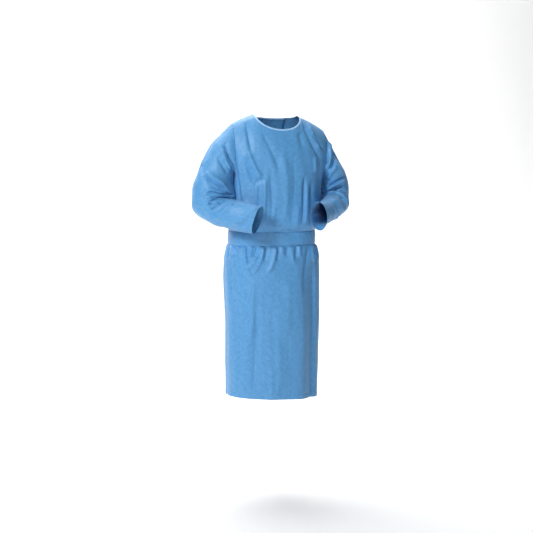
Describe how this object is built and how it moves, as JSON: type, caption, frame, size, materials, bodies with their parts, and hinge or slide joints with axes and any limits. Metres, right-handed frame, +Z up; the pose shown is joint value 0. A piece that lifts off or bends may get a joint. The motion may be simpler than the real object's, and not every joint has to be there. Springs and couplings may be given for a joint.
{
  "type": "procedure gown",
  "caption": "Knee-length nonwoven procedure gown with bound round neck, long set-in sleeves with open cuffs, an overlapping open back and a waist belt, in its worn form.",
  "frame": {"origin": "middle of the shoulder line, level with the points where the shoulder seams meet the neckline, where the wearer's shoulders carry the gown", "axes": "+Z up; the gown's front faces -Y; +X is the wearer's left"},
  "size_m": [0.6563, 0.4172, 1.1381],
  "materials": {
    "gown_nonwoven": "soft satin, point-bonded nonwoven",
    "binding_nonwoven": "soft satin, light nonwoven"
  },
  "bodies": {
    "root": {"front": "gown_nonwoven", "back_left": "gown_nonwoven", "back_right": "gown_nonwoven", "sleeve_right": "gown_nonwoven", "sleeve_left": "gown_nonwoven", "neck_binding": "binding_nonwoven", "neck_tab": "gown_nonwoven", "belt": "gown_nonwoven", "belt_knot": "gown_nonwoven", "belt_end_left": "gown_nonwoven", "belt_end_right": "gown_nonwoven"}
  },
  "joints": []
}
